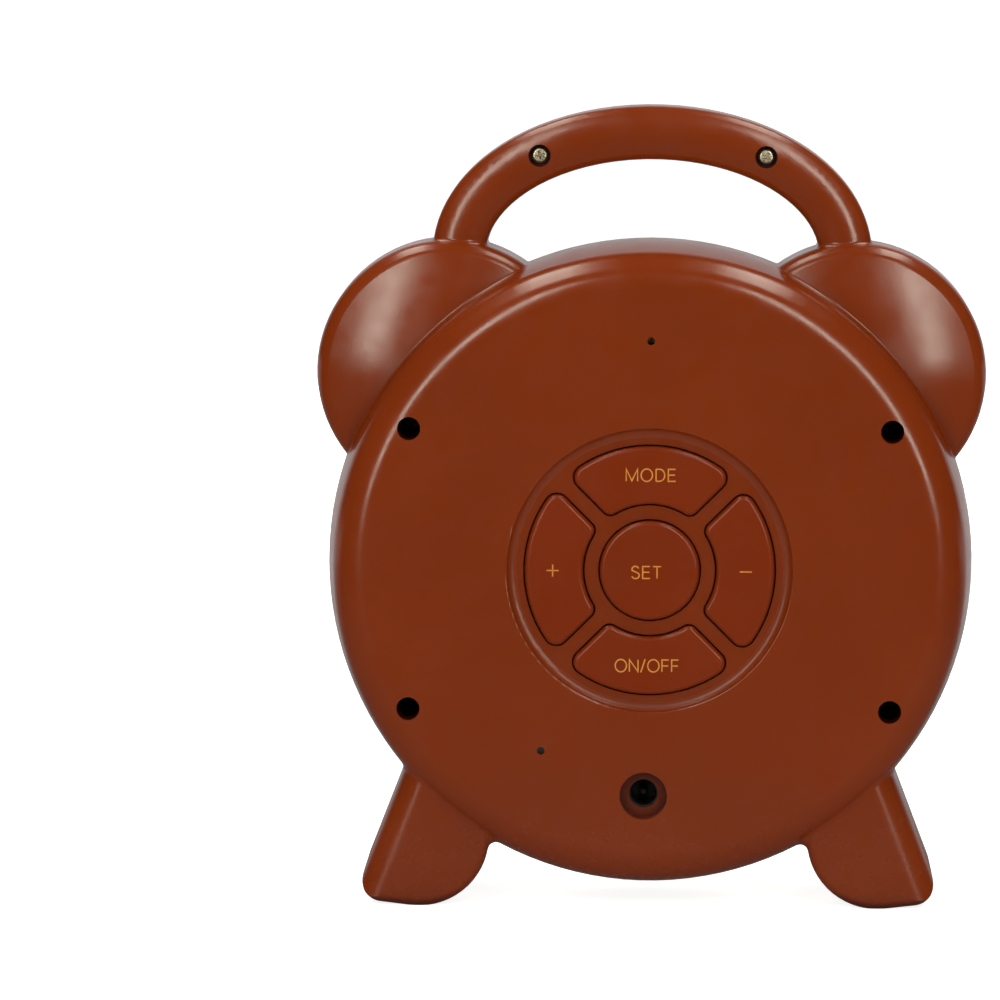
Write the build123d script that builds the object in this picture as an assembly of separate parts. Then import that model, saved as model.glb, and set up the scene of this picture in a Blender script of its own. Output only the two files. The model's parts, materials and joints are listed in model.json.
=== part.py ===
from build123d import *
import os
from math import acos, asin, cos, hypot, radians, sin, sqrt, tan

# A round bedside alarm clock with a night light: a drum on two splayed feet, with two domed ears and a
# carrying handle, moulded as a front and a rear shell that meet on the plane y = 0.
# Units are millimetres. The clock faces -Y, its keys are on the +Y side, and +Z is up.
# Shapes are drawn about the drum's axis and lifted by axis_height when they are written.

# Drum
drum_radius = 80.0  # at the parting plane
ground_clearance = 4.4  # under the drum
crown_radius = 88.0  # barrel curve of the side wall
rear_depth = 25.2
front_depth = 25.2
rear_corner = 8.5
front_corner = 14.0
wall = 2.4
parting_gap = 0.2
lip_height = 2.2
lip_wall = 1.2

# Ears
ear_inset = 11.2  # from the drum's rim to an ear's centre
ear_angle = 43.2  # of that centre, above the horizontal
ear_radius = 32.6
ear_half_depth = 15.4  # at the middle of the dome
ear_crown_radius = 95.0
ear_edge = 4.5  # rounding between the dome and the rim
ear_blend = 0.8  # fillet where the ear meets the drum
insert_radius = 25.5
insert_thickness = 1.2

# Handle
handle_rise = 29.1  # its springing, above the ears' centres
handle_overhang = 4.2  # its outer side, beyond the ears' centres
handle_height = 36.8
handle_width = 13.2
handle_half_depth = 8.2
handle_crown_radius = 11.6  # of the faces with the screws
handle_edge = 2.6
handle_leg = 16.0
handle_blend = 1.0

# Feet
foot_splay = 21.0  # outer side, from the vertical
foot_slope = 6.7  # sole, from the horizontal
foot_inset = 6.4  # from under the drum's side to where the outer side would meet the floor
foot_width = 34.3
foot_tip_radius = 5.2
foot_sole_radius = 17.4
foot_set_back = 3.9  # from the drum's end
foot_corner = 6.5  # rounding of the outer upright edges
foot_edge = 2.0
foot_blend = 2.0
foot_flat = 0.35  # trimmed off the sole, which leaves a flat to stand on

# Clearances
fit_gap = 0.05  # pieces pressed or glued into a seat
seat_gap = 0.1  # between pieces that are clamped
moving_gap = 0.35  # round a key

# Keys
key_recess_radius = 35.0
key_recess_depth = 1.5
key_recess_fillet = 2.0  # between its floor and its wall
key_recess_mouth = 0.5  # rounding of its mouth
key_floor = 2.3
key_margin = 4.3  # between the sector keys and the recess's edge
key_spacing = 4.05  # between the round key and the sector keys
set_radius = 12.3
sector_web = 4.2
sector_tip = 3.0
sector_heel = 2.2
key_height = 1.4  # above the recess floor
key_edge = 1.2
set_dish = 0.35  # hollow in the round key
key_skin = 1.6
key_flange = 0.9
key_flange_thickness = 1.1
key_travel = 0.8
key_back_clearance = 0.4  # left between a key and its switch at full travel
stem_radius = 2.3

# Switches under the keys
switch_size = 6.2
switch_height = 3.5
plunger_radius = 1.7
plunger_height = 1.3  # above the switch at rest
plunger_depth = 1.4  # inside the switch at rest

# Boards
board_thickness = 1.6
board_screw_radius = 1.0
board_screw_length = 7.0
board_screw_head = 2.2
board_screw_head_height = 1.3
post_radius = 2.8
post_margin = 4.0  # from a post's centre to a board's edge
key_post_clearance = 1.8  # from the recess's edge
key_board_margin = 5.0  # from a post's centre to the key board's edge
key_board_clearance = 4.2  # from the key board to the main board's posts
main_board_height = 50.0
main_board_z = 34.0
main_board_y = 2.0
power_board_width = 50.0
power_board_height = 27.0
power_board_x = 10.0
power_board_z = -52.0
header_length = 20.0
header_width = 5.0
header_z = 15.0
chip_size = 12.0
chip_height = 1.4
capacitor_radius = 4.0
capacitor_height = 9.0

# Face
rim_width = 20.4  # shell between the drum's side and the lit face
face_lip = 3.0
face_lip_thickness = 1.2
face_crown = 0.5
window_width = 58.0
window_height = 26.0
window_corner = 4.0
window_step = 0.9
reflector_wall = 1.2
reflector_taper = 9.6  # from the lens in to the board
lcd_thickness = 2.6
lcd_margin = 3.0
guide_thickness = 3.0
holder_wall = 3.0
display_board_margin = 1.6
display_lug_reach = 6.4  # beyond the face
display_lug_radius = 4.2
led_count = 12
led_size = 5.0
led_height = 1.6
led_margin = 4.0  # from the reflector

# Case screws
well_radius = 2.85
well_inset = 11.4  # from the drum's rim
well_angle = 30.3  # from the horizontal
well_floor = 9.0
well_wall = 1.8
case_screw_radius = 1.4
case_screw_length = 20.0
case_screw_head = 2.5
case_screw_head_height = 2.0
handle_screw_angle = 54.2  # round the arch, from its springing
handle_well_radius = 2.75
handle_well_floor = 4.4
handle_screw_radius = 1.1
handle_screw_length = 9.0
handle_screw_head = 2.12
handle_screw_head_height = 1.7

# Power inlet, reset and sounder
jack_x = 1.2
jack_z = -55.9
jack_recess_radius = 5.85
jack_recess_depth = 4.5
jack_floor = 1.6
jack_opening = 3.55
jack_bore = 3.2
jack_bore_depth = 9.0
jack_base = 1.0
jack_pin_radius = 1.05
jack_width = 9.4
jack_body_height = 10.6
reset_x = 26.5
reset_z = -44.8
reset_travel = 0.4
reset_stand_off = 1.5  # behind the wall
reset_plunger_radius = 1.2
pinhole_radius = 0.95
sound_z = 56.5
sounder_radius = 11.0
sounder_depth = 6.0
sounder_wall = 1.0
sounder_step = 2.7
sounder_disc_thickness = 0.4

# Battery
cell_radius = 9.2
cell_length = 65.0
cell_button_radius = 3.0
cell_z = -21.0
cell_clearance = 1.2  # behind the display board
cradle_wall = 1.4
cradle_lug = 9.0
cradle_lug_thickness = 2.0
contact_gap = 1.0
contact_thickness = 0.5

# Places that follow from the sizes above
axis_height = drum_radius + ground_clearance
ear_x = (drum_radius - ear_inset) * cos(radians(ear_angle))
ear_z = (drum_radius - ear_inset) * sin(radians(ear_angle))
well_x = (drum_radius - well_inset) * cos(radians(well_angle))
well_z = (drum_radius - well_inset) * sin(radians(well_angle))
handle_z = ear_z + handle_rise
handle_reach = ear_x + handle_overhang
handle_screw_x = (handle_reach - handle_width / 2) * cos(radians(handle_screw_angle))
handle_screw_z = handle_z + (handle_height - handle_width / 2) * sin(radians(handle_screw_angle))
foot_outer_x = drum_radius - foot_inset
foot_inner_x = foot_outer_x - foot_width
foot_half_depth = min(rear_depth, front_depth) - foot_set_back
sector_inner = set_radius + key_spacing
sector_outer = key_recess_radius - key_margin
key_post_offset = (key_recess_radius + key_post_clearance) / sqrt(2)
key_board_size = 2 * (key_post_offset + key_board_margin)
main_board_width = key_board_size + 2 * (key_board_clearance + post_radius + post_margin)
face_radius = drum_radius - rim_width
display_board_radius = face_radius - display_board_margin
reflector_inner = face_radius - reflector_taper
lcd_width = window_width + 2 * lcd_margin
lcd_height = window_height + 2 * lcd_margin

# Depths that follow from the sizes above, from the rear forwards
rear_inner = rear_depth - wall
key_base = rear_depth - key_recess_depth
key_top = key_base + key_height
key_wall_inner = key_base - key_floor
key_flange_top = key_wall_inner - moving_gap
key_back = key_flange_top - key_flange_thickness
key_board_rear = key_back - key_back_clearance - key_travel - plunger_height - switch_height
key_board_front = key_board_rear - board_thickness
jack_front = rear_depth - jack_recess_depth - jack_floor - seat_gap
power_board_rear = jack_front - jack_bore_depth - jack_base
power_board_front = power_board_rear - board_thickness
main_board_rear = main_board_y + board_thickness
front_inner = wall - front_depth
lens_back = front_inner + seat_gap + face_lip_thickness
window_back = lens_back + window_step
lcd_front = window_back + 2 * seat_gap
guide_front = lcd_front + lcd_thickness + seat_gap
display_board_front = guide_front + guide_thickness + seat_gap
display_board_rear = display_board_front + board_thickness
cell_y = display_board_rear + cell_clearance + cell_radius
cradle_back = cell_y + cell_radius + seat_gap + cradle_wall


def slab(sketch, start, end):
    """Extrude a sketch, drawn in X and Z, between two depths along Y."""
    return extrude(Plane.XZ.offset(-start) * sketch, start - end)


def rod(x, z, radius, start, end):
    return slab(Pos(x, z) * Circle(radius), start, end)


def tube(x, z, outer, inner, start, end):
    return slab(Pos(x, z) * (Circle(outer) - Circle(inner)), start, end)


def plate(width, height, corner, x, z, start, end):
    return slab(Pos(x, z) * RectangleRounded(width, height, corner), start, end)


def spin(outline, x=0, z=0):
    """Revolve an outline, drawn with X as radius and Y as depth, about an axis along Y."""
    return Pos(x, 0, z) * revolve(outline, Axis.Y)


def both_sides(shape):
    return shape + mirror(shape, Plane.YZ)


def group(shapes):
    """Keep separate solids together in one shape."""
    return Compound(children=[solid for shape in shapes for solid in shape.solids()])


def crowned_section(radius, depth, corner, shrink=0.0):
    """Half section of the drum, from its axis to the barrel-curved side, on one side of y = 0.

    Inside the wall, where shrink is set, the rounded corner is a plain chamfer of about the same depth.
    """
    radius -= shrink
    crown = crown_radius - shrink
    corner -= shrink
    side = 1 if depth > 0 else -1
    depth -= side * shrink
    sweep = asin(depth / crown)
    edge = (radius - crown + crown * cos(sweep), depth)
    middle = (radius - crown + crown * cos(sweep / 2), crown * sin(sweep / 2))
    frame = Polyline((radius, 0), (0, 0), (0, depth), edge)
    face = make_face(frame + ThreePointArc(edge, middle, (radius, 0)))
    shoulder = face.vertices().sort_by_distance((*edge, 0))[0]
    if shrink:
        return chamfer(shoulder, 0.7 * corner)
    return fillet(shoulder, corner)


def drum_half(side, shrink=0.0):
    if side > 0:
        return spin(crowned_section(drum_radius, rear_depth, rear_corner, shrink))
    return spin(crowned_section(drum_radius, -front_depth, front_corner, shrink))


def ear_half(inset=0.0):
    """Half of an ear on the +Y side: a straight rim, a rounded edge and a spherical dome."""
    radius = ear_radius - inset
    top = ear_half_depth - inset
    centre = top - ear_crown_radius
    shoulder = (radius, centre + sqrt(ear_crown_radius**2 - radius**2))
    middle = (radius / 2, centre + sqrt(ear_crown_radius**2 - radius**2 / 4))
    frame = Polyline((0, top), (0, 0), (radius, 0), shoulder)
    face = make_face(frame + ThreePointArc(shoulder, middle, (0, top)))
    face = fillet(face.vertices().sort_by_distance((*shoulder, 0))[0], ear_edge - inset)
    return spin(face, ear_x, ear_z)


def ear_cavity():
    """Hollow of half an ear: two cones under the dome, a wall or a little more away from it."""
    radius = ear_radius - wall
    shoulder = radius - ear_edge
    sag = ear_crown_radius - sqrt(ear_crown_radius**2 - shoulder**2)
    points = [
        (0, 0),
        (radius, 0),
        (radius, ear_half_depth - wall - sag - ear_edge),
        (shoulder, ear_half_depth - wall - sag),
        (0, ear_half_depth - wall),
    ]
    return spin(make_face(Polyline(*points, close=True)), ear_x, ear_z) - drum_half(1)


def handle_section(inset=0.0):
    """Half of the handle's section: X across it, Y as depth, with a crowned face."""
    half = handle_width / 2 - inset
    top = handle_half_depth - inset
    crown = handle_crown_radius - inset
    side = top - crown + sqrt(crown**2 - half**2)
    frame = Polyline((-half, side), (-half, 0), (half, 0), (half, side))
    return make_face(frame + ThreePointArc((half, side), (0, top), (-half, side)))


def along_handle(section, leg):
    """Sweep a section along the handle: an elliptical arch with a straight leg under each end."""
    reach = handle_reach - handle_width / 2
    rise = handle_height - handle_width / 2
    arch = Plane.XZ * EllipticalCenterArc((0, 0), reach, rise, 0, arc_size=180)
    legs = [Line((side * reach, 0, -leg), (side * reach, 0, 0)) for side in (1, -1)]
    path = Pos(0, 0, handle_z) * Wire([legs[0].edge(), arch.edge(), legs[1].edge()])
    start = Plane(origin=(reach, 0, handle_z - leg), x_dir=(1, 0, 0), z_dir=(0, 0, 1))
    return sweep(start * section, path=path)


def handle_half():
    section = handle_section()
    section = fillet([v for v in section.vertices() if v.Y > 0.1], handle_edge)
    return along_handle(section, handle_leg)


def handle_channel():
    """Hollow of half the handle, which ends a little above the ears."""
    above = Pos(0, handle_z + 4 + handle_height) * Rectangle(4 * handle_reach, 2 * handle_height)
    return along_handle(handle_section(wall), 0.1) & slab(above, -1, handle_half_depth)


def foot_sketch():
    """Outline of the +X foot: splayed outer side, rounded toe, sloping sole and upright inner side."""
    splay = tan(radians(foot_splay))
    slope = tan(radians(foot_slope))
    floor = -axis_height - foot_flat
    pivot_x = foot_inner_x + foot_sole_radius
    toe_x = (foot_outer_x + slope * splay * pivot_x) / (1 + slope * splay)
    toe = (toe_x, floor + slope * (toe_x - pivot_x))
    heel = (foot_inner_x, floor - slope * foot_sole_radius)
    top = -0.55 * drum_radius
    points = [toe, (foot_outer_x - splay * (top - floor), top), (foot_inner_x, top), heel]
    face = make_face(Polyline(*points, close=True))
    face = fillet(face.vertices().sort_by_distance((*toe, 0))[0], foot_tip_radius)
    return fillet(face.vertices().sort_by_distance((*heel, 0))[0], foot_sole_radius)


def foot_block(inset=0.0):
    """Block along the foot's outer side, with that side's well rounded edge."""
    lean = radians(foot_splay)
    side = Plane(
        origin=(foot_outer_x, 0, -axis_height - foot_flat),
        x_dir=(cos(lean), 0, sin(lean)),
        z_dir=(-sin(lean), 0, cos(lean)),
    )
    section = Rectangle(2 * foot_width, foot_half_depth - inset, align=(Align.MAX, Align.MIN))
    section = fillet(section.vertices().group_by(Axis.X)[-1].sort_by(Axis.Y)[-1], foot_corner - inset)
    return extrude(side * Pos(-inset, 0) * section, 3 * foot_width, both=True)


def foot_half():
    """Half of the +X foot on the +Y side, trimmed flat below."""
    body = slab(foot_sketch(), 0, foot_half_depth)
    top = body.bounding_box().max.Z - 1
    rim = [edge for edge in body.faces().sort_by(Axis.Y)[-1].edges() if edge.center().Z < top]
    above = Pos(foot_outer_x, -axis_height / 2) * Rectangle(2 * foot_outer_x, axis_height)
    return fillet(rim, foot_edge) & foot_block() & slab(above, -1, foot_half_depth + 1)


def foot_cavity():
    hollow = slab(offset(foot_sketch(), -wall), 0, foot_half_depth - wall)
    return (hollow & foot_block(wall)) - drum_half(1)


def join(first, second, radius):
    """Unite two bodies and fillet the inner corner where they meet."""
    body = first + second
    seam = [e for e in body.edges() if max(first.distance_to(e @ 0.5), second.distance_to(e @ 0.5)) < 0.001]
    return fillet(seam, radius)


def shell_half(side):
    """One moulded half, hollow, with its half of the ears, handle and feet."""
    limbs = [
        (both_sides(ear_half()), ear_blend),
        (both_sides(foot_half()), foot_blend),
        (handle_half(), handle_blend),
    ]
    hollows = [both_sides(ear_cavity()), both_sides(foot_cavity()), handle_channel()]
    shell = drum_half(side)
    for limb, radius in limbs:
        shell = join(shell, limb if side > 0 else mirror(limb, Plane.XZ), radius)
    shell -= drum_half(side, wall)
    for hollow in hollows:
        shell -= hollow if side > 0 else mirror(hollow, Plane.XZ)
    return shell


def trim_to_parting(shape, side):
    """Leave half of the parting gap between the shells."""
    reach = 3 * drum_radius
    cutter = Box(reach, parting_gap / 2, reach, align=(Align.CENTER, Align.MIN, Align.CENTER))
    if side < 0:
        cutter = mirror(cutter, Plane.XZ)
    return shape - cutter


def board_post(x, z, start, end):
    return tube(x, z, post_radius, board_screw_radius + fit_gap, start, end)


def case_wells():
    return [(sx * well_x, sz * well_z) for sx in (1, -1) for sz in (1, -1)]


def key_posts():
    return [(sx * key_post_offset, sz * key_post_offset) for sx in (1, -1) for sz in (1, -1)]


def main_posts():
    dx = main_board_width / 2 - post_margin
    dz = main_board_height / 2 - post_margin
    return [(sx * dx, main_board_z + sz * dz) for sx in (1, -1) for sz in (1, -1)]


def power_posts():
    dx = power_board_width / 2 - post_margin
    dz = power_board_height / 2 - post_margin
    return [(power_board_x - dx, power_board_z + dz), (power_board_x + dx, power_board_z - dz)]


def display_posts():
    reach = face_radius + display_lug_reach
    return [(0, reach), (reach, 0), (0, -reach), (-reach, 0)]


def cradle_posts():
    reach = cell_length / 2 + contact_gap + contact_thickness + seat_gap + cradle_wall + cradle_lug / 2
    return [(reach, cell_z), (-reach, cell_z)]


def sector_sketch():
    """Outline of the upper sector key: a ring sector whose sides run beside the 45 degree lines."""
    apex = sector_web / 2 * sqrt(2)
    far = 2 * sector_outer
    wedge = make_face(Polyline((0, apex), (far, apex + far), (-far, apex + far), close=True))
    face = (Circle(sector_outer) - Circle(sector_inner)) & wedge
    corners = face.vertices().sort_by(Axis.Y)
    face = fillet([v for v in corners if hypot(v.X, v.Y) < sector_outer - 1], sector_heel)
    return fillet([v for v in face.vertices() if hypot(v.X, v.Y) > sector_outer - 0.1], sector_tip)


def key_layout():
    """Name, outline and stem position of each key."""
    sector = sector_sketch()
    turns = {"mode": 0, "minus": 90, "on_off": 180, "plus": 270}
    layout = {"set": (Circle(set_radius), 0, 0)}
    middle = (sector_inner + sector_outer) / 2
    for name, turn in turns.items():
        stem_x = -middle * sin(radians(turn))
        stem_z = middle * cos(radians(turn))
        layout[name] = (Rot(0, 0, turn) * sector, stem_x, stem_z)
    return layout


def key_cap(outline, stem_x, stem_z):
    """Hollow key with a retaining flange behind the wall and a stem that bears on its switch."""
    body = slab(outline, key_back, key_top)
    body = fillet(body.faces().sort_by(Axis.Y)[-1].edges(), key_edge)
    body += slab(offset(outline, key_flange), key_back, key_flange_top)
    body -= slab(offset(outline, -key_skin), key_back, key_top - key_skin)
    stem_end = key_board_rear + switch_height + plunger_height
    return body + rod(stem_x, stem_z, stem_radius, stem_end, key_top - key_skin)


def finger_dish():
    """Ball that hollows the middle of the round key."""
    reach = set_radius - key_edge
    radius = (reach**2 + set_dish**2) / (2 * set_dish)
    return Pos(0, key_top - set_dish + radius, 0) * Sphere(radius)


def key_recess():
    """Round recess of the keys: its floor curves up into the wall, and its mouth is rounded."""
    turn = acos(1 - key_recess_depth / (key_recess_fillet + key_recess_mouth))

    def low(angle):
        x = key_recess_radius - key_recess_fillet * (sin(turn) - sin(angle))
        return (x, key_base + key_recess_fillet * (1 - cos(angle)))

    def high(angle):
        x = key_recess_radius + key_recess_mouth * (sin(turn) - sin(angle))
        return (x, rear_depth - key_recess_mouth * (1 - cos(angle)))

    above = rear_depth + 1
    frame = Polyline(high(0), (high(0)[0], above), (0, above), (0, key_base), low(0))
    hollow = ThreePointArc(low(0), low(turn / 2), low(turn))
    mouth = ThreePointArc(low(turn), high(turn / 2), high(0))
    return spin(make_face(frame + hollow + mouth))


def rear_shell():
    shell = shell_half(1)
    # thicker floor under the keys, then the recess and the key holes
    shell += rod(0, 0, key_recess_radius + 3, key_wall_inner, rear_inner + 0.5)
    shell -= key_recess()
    for outline, _, _ in key_layout().values():
        shell -= slab(offset(outline, moving_gap), key_wall_inner - 1, key_base + 1)
    # screw wells down to the parting plane
    for x, z in case_wells():
        shell += rod(x, z, well_radius + well_wall, 0, rear_inner + 0.5) & drum_half(1, 0.5)
        shell -= rod(x, z, well_radius, well_floor, rear_depth + 1)
        shell -= rod(x, z, case_screw_radius + fit_gap, -1, well_floor + 1)
    for x in (handle_screw_x, -handle_screw_x):
        shell += rod(x, handle_screw_z, handle_well_radius + 1, 0, handle_half_depth - 1)
        shell -= rod(x, handle_screw_z, handle_well_radius, handle_well_floor, handle_half_depth + 1)
        shell -= rod(x, handle_screw_z, handle_screw_radius + fit_gap, -1, handle_well_floor + 1)
    # board posts
    for x, z in key_posts():
        shell += board_post(x, z, key_board_rear, rear_inner + 0.1)
    for x, z in main_posts():
        shell += board_post(x, z, main_board_rear, rear_inner + 0.1)
    for x, z in power_posts():
        shell += board_post(x, z, power_board_rear, rear_inner + 0.1)
    for x, z in cradle_posts():
        shell += board_post(x, z, cradle_back, rear_inner + 0.1)
    # inlet, reset and sounder
    inlet_floor = rear_depth - jack_recess_depth
    shell += rod(jack_x, jack_z, jack_recess_radius + wall, inlet_floor - jack_floor, rear_inner + 0.5)
    shell -= rod(jack_x, jack_z, jack_recess_radius, inlet_floor, rear_depth + 1)
    shell -= rod(jack_x, jack_z, jack_opening, inlet_floor - jack_floor - 1, inlet_floor + 1)
    shell -= rod(reset_x, reset_z, pinhole_radius, rear_inner - 1, rear_depth + 1)
    shell -= rod(0, sound_z, pinhole_radius, rear_inner - 1, rear_depth + 1)
    collar = sounder_radius + fit_gap
    collar_end = rear_inner - sounder_depth / 2
    shell += tube(0, sound_z, collar + sounder_wall, collar, collar_end, rear_inner + 0.1)
    return trim_to_parting(shell, 1)


def front_shell():
    shell = shell_half(-1)
    for x, z in case_wells():
        shell += rod(x, z, well_radius + 1, front_inner - 0.5, 0) & drum_half(-1, 0.5)
        shell -= rod(x, z, case_screw_radius + fit_gap, well_floor - case_screw_length - 1, 1)
    for x in (handle_screw_x, -handle_screw_x):
        shell += rod(x, handle_screw_z, handle_well_radius + 1, 1 - handle_half_depth, 0)
        pilot_end = handle_well_floor - handle_screw_length - 1
        shell -= rod(x, handle_screw_z, handle_screw_radius + fit_gap, pilot_end, 1)
    # locating lip that bridges the parting gap inside the drum
    lip_outer = drum_radius - wall - seat_gap
    shell += tube(0, 0, lip_outer + seat_gap, lip_outer - lip_wall, -lip_height, -parting_gap / 2)
    shell += tube(0, 0, lip_outer - seat_gap, lip_outer - lip_wall, -parting_gap, lip_height)
    # opening for the lit face
    shell -= rod(0, 0, face_radius + seat_gap, -front_depth - 1, front_inner + 1)
    for x, z in display_posts():
        shell += board_post(x, z, front_inner - 0.1, display_board_front)
    for side in (1, -1):
        shell -= ear_insert(side, insert_radius + seat_gap, insert_thickness + fit_gap, 0)
    front = trim_to_parting(shell, -1)
    # the lip passes the parting plane, so it goes back on after the trim
    return front + tube(0, 0, lip_outer - seat_gap, lip_outer - lip_wall, -parting_gap, lip_height)


def ear_insert(side, radius=insert_radius, thickness=insert_thickness, drum_gap=0.2):
    """Dome-shaped disc let into the front of an ear, cut off where it meets the drum."""
    cap = mirror(ear_half() - ear_half(thickness), Plane.XZ)
    cap = cap & rod(ear_x, ear_z, radius, -ear_half_depth - 1, 0)
    cap = cap - spin(crowned_section(drum_radius + drum_gap, -front_depth, front_corner))
    cap = cap.solids().sort_by(SortBy.VOLUME)[-1]
    return cap if side > 0 else mirror(cap, Plane.YZ)


def face_lens():
    """Domed translucent disc with a retaining lip behind the shell's wall and a window opening."""
    rim = face_crown - front_depth
    crown = (face_radius**2 + face_crown**2) / (2 * face_crown)
    middle = crown - front_depth - sqrt(crown**2 - face_radius**2 / 4)
    lip = face_radius + face_lip
    lip_front = front_inner + seat_gap
    points = [
        (0, -front_depth),
        (0, lens_back),
        (lip, lens_back),
        (lip, lip_front),
        (face_radius, lip_front),
        (face_radius, rim),
    ]
    dome = ThreePointArc((face_radius, rim), (face_radius / 2, middle), (0, -front_depth))
    lens = spin(make_face(Polyline(*points) + dome))
    return lens - plate(window_width, window_height, window_corner, 0, 0, -front_depth - 1, lens_back + 1)


def display_window():
    """Tinted window that fills the opening in the lens and hooks behind it with a step."""
    width = window_width - 2 * seat_gap
    height = window_height - 2 * seat_gap
    pane = plate(width, height, window_corner - seat_gap, 0, 0, -front_depth, window_back)
    width = window_width + lcd_margin
    height = window_height + lcd_margin
    return pane + plate(width, height, window_corner, 0, 0, lens_back + seat_gap, window_back)


def reflector():
    """White cone from the back of the lens to the display board, round the ring of lights."""
    points = [
        (face_radius + reflector_wall, lens_back + seat_gap),
        (face_radius, lens_back + seat_gap),
        (reflector_inner, display_board_front - seat_gap),
        (reflector_inner + reflector_wall, display_board_front - seat_gap),
    ]
    return spin(make_face(Polyline(*points, close=True)))


def lcd_holder():
    """Rectangular frame that stands on the display board and holds the glass and the light guide."""
    outer = RectangleRounded(lcd_width + 2 * holder_wall, lcd_height + 2 * holder_wall, holder_wall)
    return slab(outer - Rectangle(lcd_width, lcd_height), window_back + seat_gap, display_board_front)


def lcd_glass():
    outline = Rectangle(lcd_width - 2 * seat_gap, lcd_height - 2 * seat_gap)
    return slab(outline, lcd_front, lcd_front + lcd_thickness)


def light_guide():
    outline = Rectangle(lcd_width - 2 * seat_gap, lcd_height - 2 * seat_gap)
    return slab(outline, guide_front, guide_front + guide_thickness)


def drill(board, places):
    """Screw clearance holes through a board."""
    bounds = board.bounding_box()
    for x, z in places:
        board -= rod(x, z, board_screw_radius + fit_gap, bounds.min.Y - 1, bounds.max.Y + 1)
    return board


def display_board():
    sketch = Circle(display_board_radius)
    for x, z in display_posts():
        sketch += Pos(x, z) * Circle(display_lug_radius)
        sketch += Pos(0.9 * x, 0.9 * z) * Rectangle(2 * display_lug_radius, 2 * display_lug_radius)
    return drill(slab(sketch, display_board_front, display_board_rear), display_posts())


def night_light_leds():
    """A ring of square light-emitting diodes on the front of the display board."""
    square = Pos(reflector_inner - led_margin, 0) * Rectangle(led_size, led_size)
    turns = [360 * i / led_count for i in range(led_count)]
    start = display_board_front - led_height
    return group([slab(Rot(0, 0, turn) * square, start, display_board_front) for turn in turns])


def main_board():
    board = plate(main_board_width, main_board_height, 3, 0, main_board_z, main_board_y, main_board_rear)
    return drill(board, main_posts())


def main_chips():
    outlines = [
        Pos(-12, main_board_z + 4) * Rectangle(chip_size, chip_size),
        Pos(14, main_board_z + 6) * Rectangle(0.7 * chip_size, 0.5 * chip_size),
    ]
    return group([slab(outline, main_board_y - chip_height, main_board_y) for outline in outlines])


def main_capacitors():
    places = [(26, main_board_z - 12), (16, main_board_z - 12)]
    start = main_board_y - capacitor_height
    return group([rod(x, z, capacitor_radius, start, main_board_y) for x, z in places])


def display_header():
    """Stacking connector between the display board and the main board."""
    outline = Pos(-14, header_z) * Rectangle(header_length, header_width)
    return slab(outline, display_board_rear, main_board_y)


def key_header():
    """Stacking connector between the main board and the key board."""
    outline = Pos(0, header_z) * Rectangle(header_length, header_width)
    return slab(outline, main_board_rear, key_board_front)


def key_board():
    board = plate(key_board_size, key_board_size, 4, 0, 0, key_board_front, key_board_rear)
    return drill(board, key_posts())


def push_switch(x, z, base, radius, travel):
    """Square switch body with a blind well for its plunger."""
    top = base + switch_height
    body = slab(Pos(x, z) * RectangleRounded(switch_size, switch_size, 0.6), base, top)
    return body - rod(x, z, radius + seat_gap, top - plunger_depth - travel - 0.3, top + 1)


def key_switches():
    places = [(x, z) for _, x, z in key_layout().values()]
    return group([push_switch(x, z, key_board_rear, plunger_radius, key_travel) for x, z in places])


def key_plunger(x, z):
    top = key_board_rear + switch_height
    return rod(x, z, plunger_radius, top - plunger_depth, top + plunger_height)


def power_board():
    outline = Pos(power_board_x, power_board_z) * RectangleRounded(power_board_width, power_board_height, 2)
    return drill(slab(outline, power_board_front, power_board_rear), power_posts())


def reset_switch():
    return push_switch(reset_x, reset_z, power_board_rear, reset_plunger_radius, reset_travel)


def reset_plunger():
    start = power_board_rear + switch_height - plunger_depth
    return rod(reset_x, reset_z, reset_plunger_radius, start, rear_inner - reset_stand_off)


def dc_jack():
    """Moulded inlet body with a round bore for the plug's barrel."""
    body = plate(jack_width, jack_body_height, 1, jack_x, jack_z, power_board_rear, jack_front)
    return body - rod(jack_x, jack_z, jack_bore, jack_front - jack_bore_depth, jack_front + 1)


def dc_jack_pin():
    base = jack_front - jack_bore_depth
    pin = rod(jack_x, jack_z, jack_pin_radius, base, base + jack_bore_depth - 1)
    return chamfer(pin.edges().sort_by(Axis.Y)[-1], 0.4)


def sounder_case():
    """Round cup with a step that carries the sounding disc behind the hole in the shell."""
    front = rear_inner - seat_gap
    cup = rod(0, sound_z, sounder_radius, front - sounder_depth, front)
    cup -= rod(0, sound_z, sounder_radius - sounder_wall, front - sounder_step, front + 1)
    floor = front - sounder_depth + sounder_wall
    return cup - rod(0, sound_z, sounder_radius - 2 * sounder_wall, floor, front)


def sounder_disc():
    base = rear_inner - seat_gap - sounder_step
    return rod(0, sound_z, sounder_radius - sounder_wall - fit_gap, base, base + sounder_disc_thickness)


def cell_rod(radius, length):
    """Cylinder along X about the cell's axis."""
    return Pos(0, cell_y, cell_z) * Rot(0, 90, 0) * Cylinder(radius, length)


def battery_cell():
    body = cell_rod(cell_radius, cell_length)
    body = chamfer(body.edges().filter_by(GeomType.CIRCLE), 0.6)
    button = Cylinder(cell_button_radius, contact_gap, align=(Align.CENTER, Align.CENTER, Align.MIN))
    return body + Pos(cell_length / 2, cell_y, cell_z) * Rot(0, 90, 0) * button


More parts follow.
